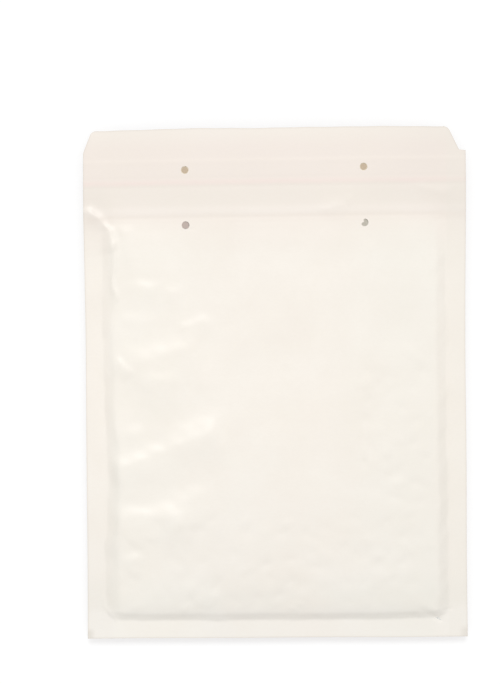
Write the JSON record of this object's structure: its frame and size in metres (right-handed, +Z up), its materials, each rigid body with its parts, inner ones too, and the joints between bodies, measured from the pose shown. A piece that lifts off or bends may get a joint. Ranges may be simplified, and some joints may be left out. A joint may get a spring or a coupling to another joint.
{
  "type": "bubble mailer",
  "caption": "Flat white paper mailer lined with bubble film, sealed at the sides and bottom, with an open adhesive flap and round punched holes.",
  "frame": {"origin": "under the middle of the mailer, on the surface that it lies on", "axes": "+X to the right of the address side, +Y along the length towards the flap, +Z up through the address side"},
  "size_m": [0.24, 0.32, 0.0122],
  "materials": {
    "paper": "smooth white paper",
    "bubble_film": "clear glossy film",
    "adhesive": "clear glossy glue",
    "liner": "silicone-coated paper",
    "tape": "satin red tape"
  },
  "bodies": {
    "root": {"front_sheet": "paper", "back_sheet": "paper", "front_lining": "bubble_film", "back_lining": "bubble_film", "adhesive_strip": "adhesive", "release_liner": "liner", "tear_tape": "tape"}
  },
  "joints": []
}
